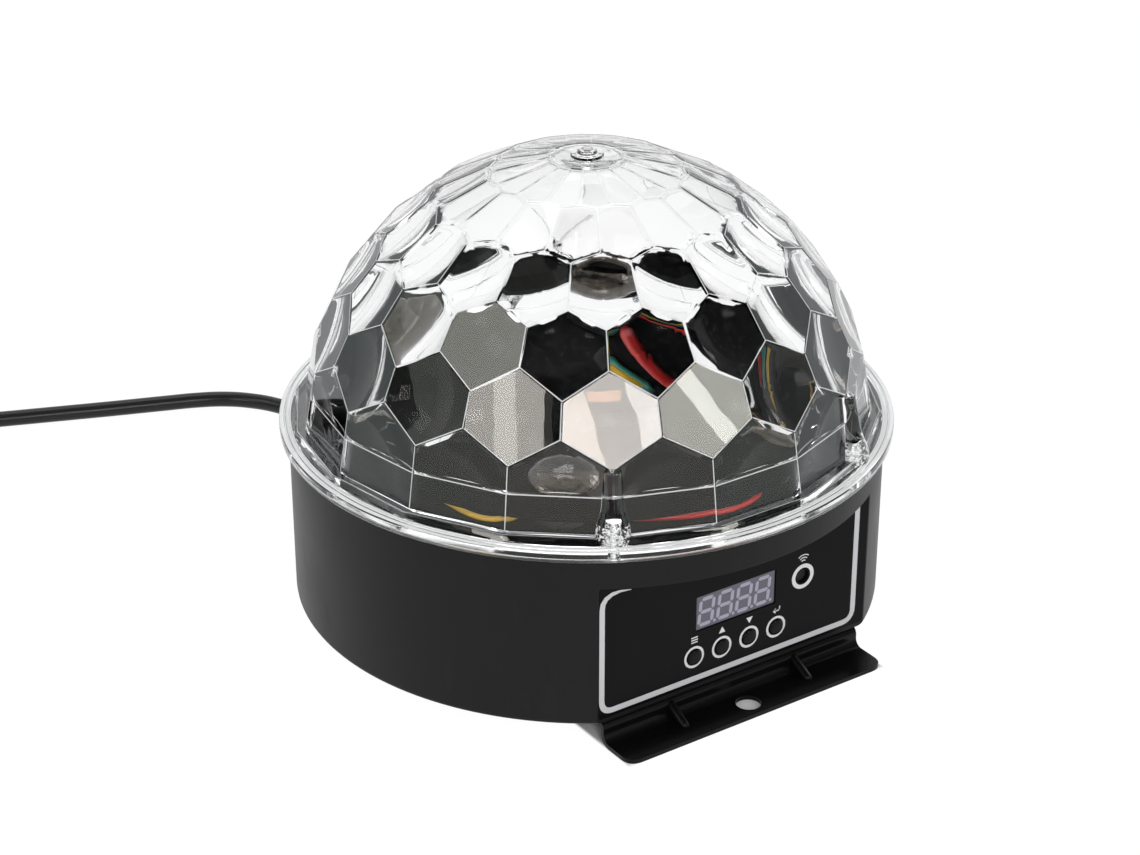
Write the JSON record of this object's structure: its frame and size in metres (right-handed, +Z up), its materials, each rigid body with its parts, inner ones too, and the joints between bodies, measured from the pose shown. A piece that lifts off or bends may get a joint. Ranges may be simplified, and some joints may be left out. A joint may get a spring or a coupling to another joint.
{
  "type": "led disco ball light",
  "caption": "Round black effect light with a clear faceted dome over a turning lens wheel, a flat control panel, a bent bracket and a mains cord.",
  "frame": {"origin": "on the surface the bracket stands on, below the dome's axis", "axes": "+Z up along the dome's axis, -Y out of the control panel, +X to the right of someone facing the panel"},
  "size_m": [0.3429, 0.3573, 0.1625],
  "materials": {
    "housing_black": "semi-gloss black moulding",
    "plate_grey": "black painted steel sheet",
    "bracket_black": "satin black paint",
    "screw_steel": "zinc plated",
    "dome_clear": "clear polished plastic, stands as glass",
    "deck_black": "satin black",
    "source_board": "white coated metal-core board",
    "motor_metal": "plated steel can",
    "wheel_black": "black moulding",
    "lens_clear": "clear moulded lens",
    "shaft_steel": "bright",
    "wire_red": "insulation",
    "wire_green": "insulation",
    "wire_yellow": "insulation",
    "circuit_green": "circuit board",
    "display_grey": "display face",
    "button_black": "black",
    "switch_dark": "moulded",
    "microphone_felt": "felt face",
    "socket_black": "black connector shell",
    "gland_black": "soft black",
    "cord_black": "black sheath",
    "plug_black": "moulded plug"
  },
  "bodies": {
    "base": {"base_housing": "housing_black", "bottom_plate": "plate_grey", "bottom_screw_1": "screw_steel", "bottom_screw_2": "screw_steel", "bottom_screw_3": "screw_steel", "bottom_screw_4": "screw_steel", "bracket_screw_1": "screw_steel", "bracket_screw_2": "screw_steel", "dome_screw_1": "screw_steel", "dome_screw_2": "screw_steel", "dome_screw_3": "screw_steel", "dome_screw_4": "screw_steel", "motor_screw_1": "screw_steel", "motor_screw_2": "screw_steel", "bracket": "bracket_black", "dome": "dome_clear", "led_deck": "deck_black", "led_board_1": "source_board", "led_board_2": "source_board", "led_board_3": "source_board", "led_board_4": "source_board", "led_board_5": "source_board", "led_board_6": "source_board", "drive_motor": "motor_metal", "wire_red": "wire_red", "wire_green": "wire_green", "wire_yellow": "wire_yellow", "control_board": "circuit_green", "power_board": "circuit_green", "display_module": "display_grey", "tact_switch_1": "switch_dark", "tact_switch_2": "switch_dark", "tact_switch_3": "switch_dark", "tact_switch_4": "switch_dark", "microphone": "microphone_felt", "signal_in_socket": "socket_black", "signal_out_socket": "socket_black", "cord_gland": "gland_black", "power_cord": "cord_black", "power_cord_coil": "cord_black", "plug": "plug_black"},
    "wheel": {"lens_wheel": "wheel_black", "drive_shaft": "shaft_steel", "wheel_screw": "screw_steel", "wheel_lens_1": "lens_clear", "wheel_lens_2": "lens_clear", "wheel_lens_3": "lens_clear", "wheel_lens_4": "lens_clear", "wheel_lens_5": "lens_clear", "wheel_lens_6": "lens_clear"},
    "button_1": {"button_cap_1": "button_black"},
    "button_2": {"button_cap_2": "button_black"},
    "button_3": {"button_cap_3": "button_black"},
    "button_4": {"button_cap_4": "button_black"}
  },
  "joints": [
    {"name": "wheel_turn", "type": "hinge", "parent": "base", "child": "wheel", "pos_m": [0, 0, 0.079], "axis": [0, 0, 1], "continuous": true},
    {"name": "button_1_press", "type": "slide", "parent": "base", "child": "button_1", "axis": [0, 1, 0], "range_m": [0, 0.0005], "stiffness_N_per_m": 400},
    {"name": "button_2_press", "type": "slide", "parent": "base", "child": "button_2", "axis": [0, 1, 0], "range_m": [0, 0.0005], "stiffness_N_per_m": 400},
    {"name": "button_3_press", "type": "slide", "parent": "base", "child": "button_3", "axis": [0, 1, 0], "range_m": [0, 0.0005], "stiffness_N_per_m": 400},
    {"name": "button_4_press", "type": "slide", "parent": "base", "child": "button_4", "axis": [0, 1, 0], "range_m": [0, 0.0005], "stiffness_N_per_m": 400}
  ]
}
